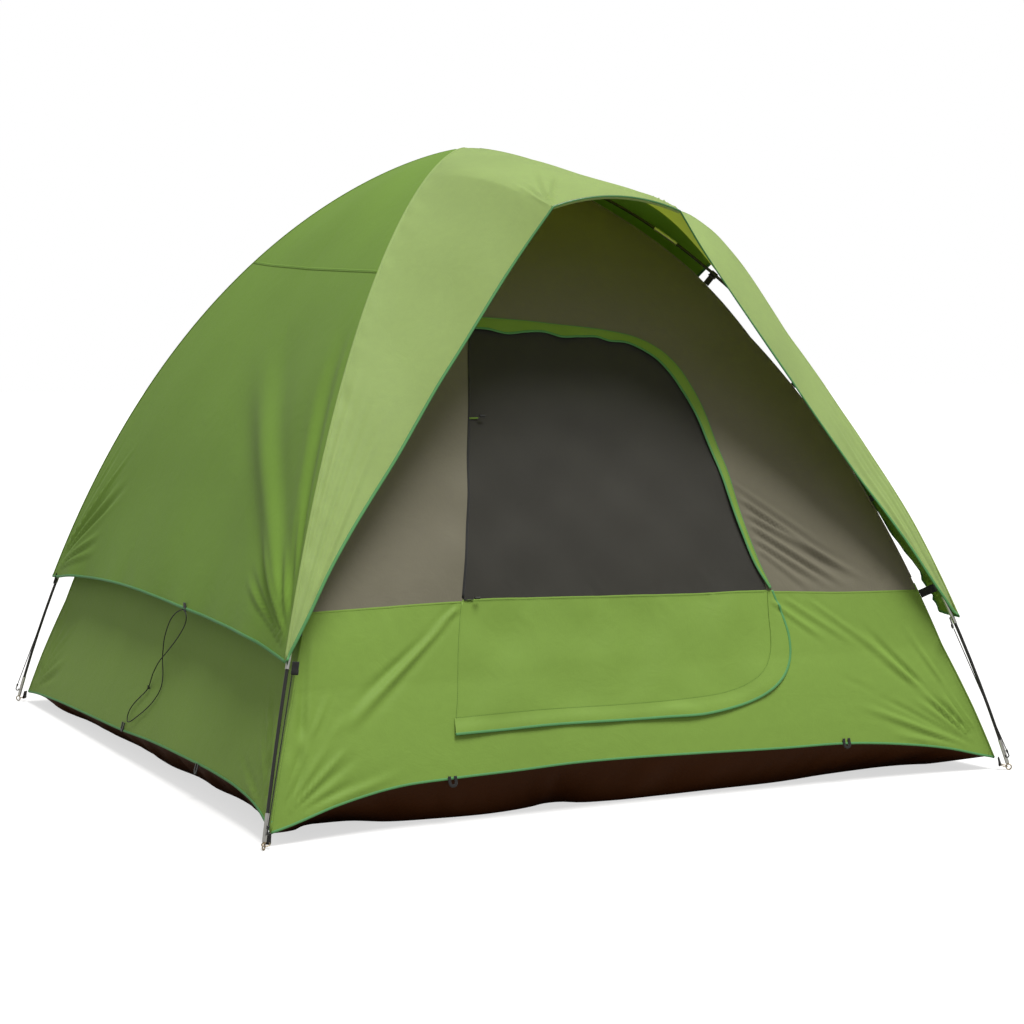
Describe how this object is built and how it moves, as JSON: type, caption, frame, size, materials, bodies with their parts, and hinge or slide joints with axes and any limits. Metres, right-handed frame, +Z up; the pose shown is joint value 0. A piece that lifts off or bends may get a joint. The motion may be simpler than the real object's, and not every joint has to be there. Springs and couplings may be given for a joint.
{
  "type": "dome tent",
  "caption": "Two-pole square dome tent with a hooded rain fly, a bathtub floor and a hinged D-shaped mesh door.",
  "frame": {"origin": "centre of the footprint, on the ground", "axes": "+Z up; the doorway faces -Y; +X is to the right for someone facing the doorway"},
  "size_m": [2.4214, 2.6555, 1.938],
  "materials": {
    "fly_dark": "coated polyester taffeta, satin",
    "visor_light": "coated polyester taffeta, satin",
    "wall_green": "polyester taffeta",
    "wall_grey": "uncoated polyester",
    "window_mesh": "fine insect mesh",
    "roof_mesh": "fine insect mesh",
    "floor_brown": "coated polyester",
    "binding_teal": "woven binding tape",
    "webbing_black": "woven webbing",
    "pole_black": "pultruded fibreglass, black",
    "ferrule_steel": "plated steel",
    "pin_steel": "plated steel wire",
    "clip_black": "moulded acetal",
    "cord_black": "braided cord",
    "elastic": "braided elastic cord",
    "zip_black": "coil zip tape",
    "slider_black": "painted zinc"
  },
  "bodies": {
    "root": {"pole_a_sections": "pole_black", "pole_b_sections": "pole_black", "pole_a_ferrules": "ferrule_steel", "pole_b_ferrules": "ferrule_steel", "pole_a_end_tips": "ferrule_steel", "pole_b_end_tips": "ferrule_steel", "pole_a_shock_cord": "elastic", "pole_b_shock_cord": "elastic", "foot_pins": "pin_steel", "foot_rings": "pin_steel", "corner_webbing": "webbing_black", "front_wall_lower": "wall_green", "front_wall_upper": "wall_grey", "left_wall_lower": "wall_green", "left_wall_upper": "wall_grey", "right_wall_lower": "wall_green", "right_wall_upper": "wall_grey", "back_wall_lower": "wall_green", "back_wall_upper": "wall_grey", "roof_mesh": "roof_mesh", "floor_seam_binding": "binding_teal", "floor_tub": "floor_brown", "stake_loops": "webbing_black", "pole_clips": "clip_black", "clip_webbing": "webbing_black", "apex_hub": "clip_black", "door_zip_tape": "zip_black"},
    "door": {"door_mesh_window": "window_mesh", "door_lower_panel": "wall_green", "door_flap_upper": "wall_green", "door_flap_lower": "wall_green", "door_flap_binding": "binding_teal", "toggle_loops": "wall_green", "tie_back_toggles": "clip_black"},
    "zip_slider": {"door_zip_slider": "slider_black", "door_zip_pull": "slider_black"},
    "fly": {"fly_left_panel": "fly_dark", "fly_back_panel": "fly_dark", "fly_right_panel": "fly_dark", "fly_hem_binding": "binding_teal", "fly_visor": "visor_light", "visor_edge_binding": "binding_teal", "brow_pole": "pole_black", "brow_sleeve": "binding_teal", "fly_corner_tabs": "webbing_black", "fly_hooks": "clip_black", "corner_cord_fl": "elastic", "corner_cord_fr": "elastic", "corner_cord_bl": "elastic", "corner_cord_br": "elastic", "guy_cord": "cord_black", "guy_cord_knot": "cord_black", "guy_tabs": "webbing_black"}
  },
  "joints": [
    {"name": "fly_lift", "type": "slide", "parent": "root", "child": "fly", "axis": [0, 0, 1], "range_m": [0, 1.5]},
    {"name": "door_swing", "type": "hinge", "parent": "root", "child": "door", "pos_m": [-0.46, -0.99377, 0.8035], "axis": [-0.2391, -0.4177, -0.8766], "range_deg": [0, 80]},
    {"name": "zip_slide", "type": "slide", "parent": "root", "child": "zip_slider", "axis": [-1, 0, 0], "range_m": [0, 0.7]}
  ]
}
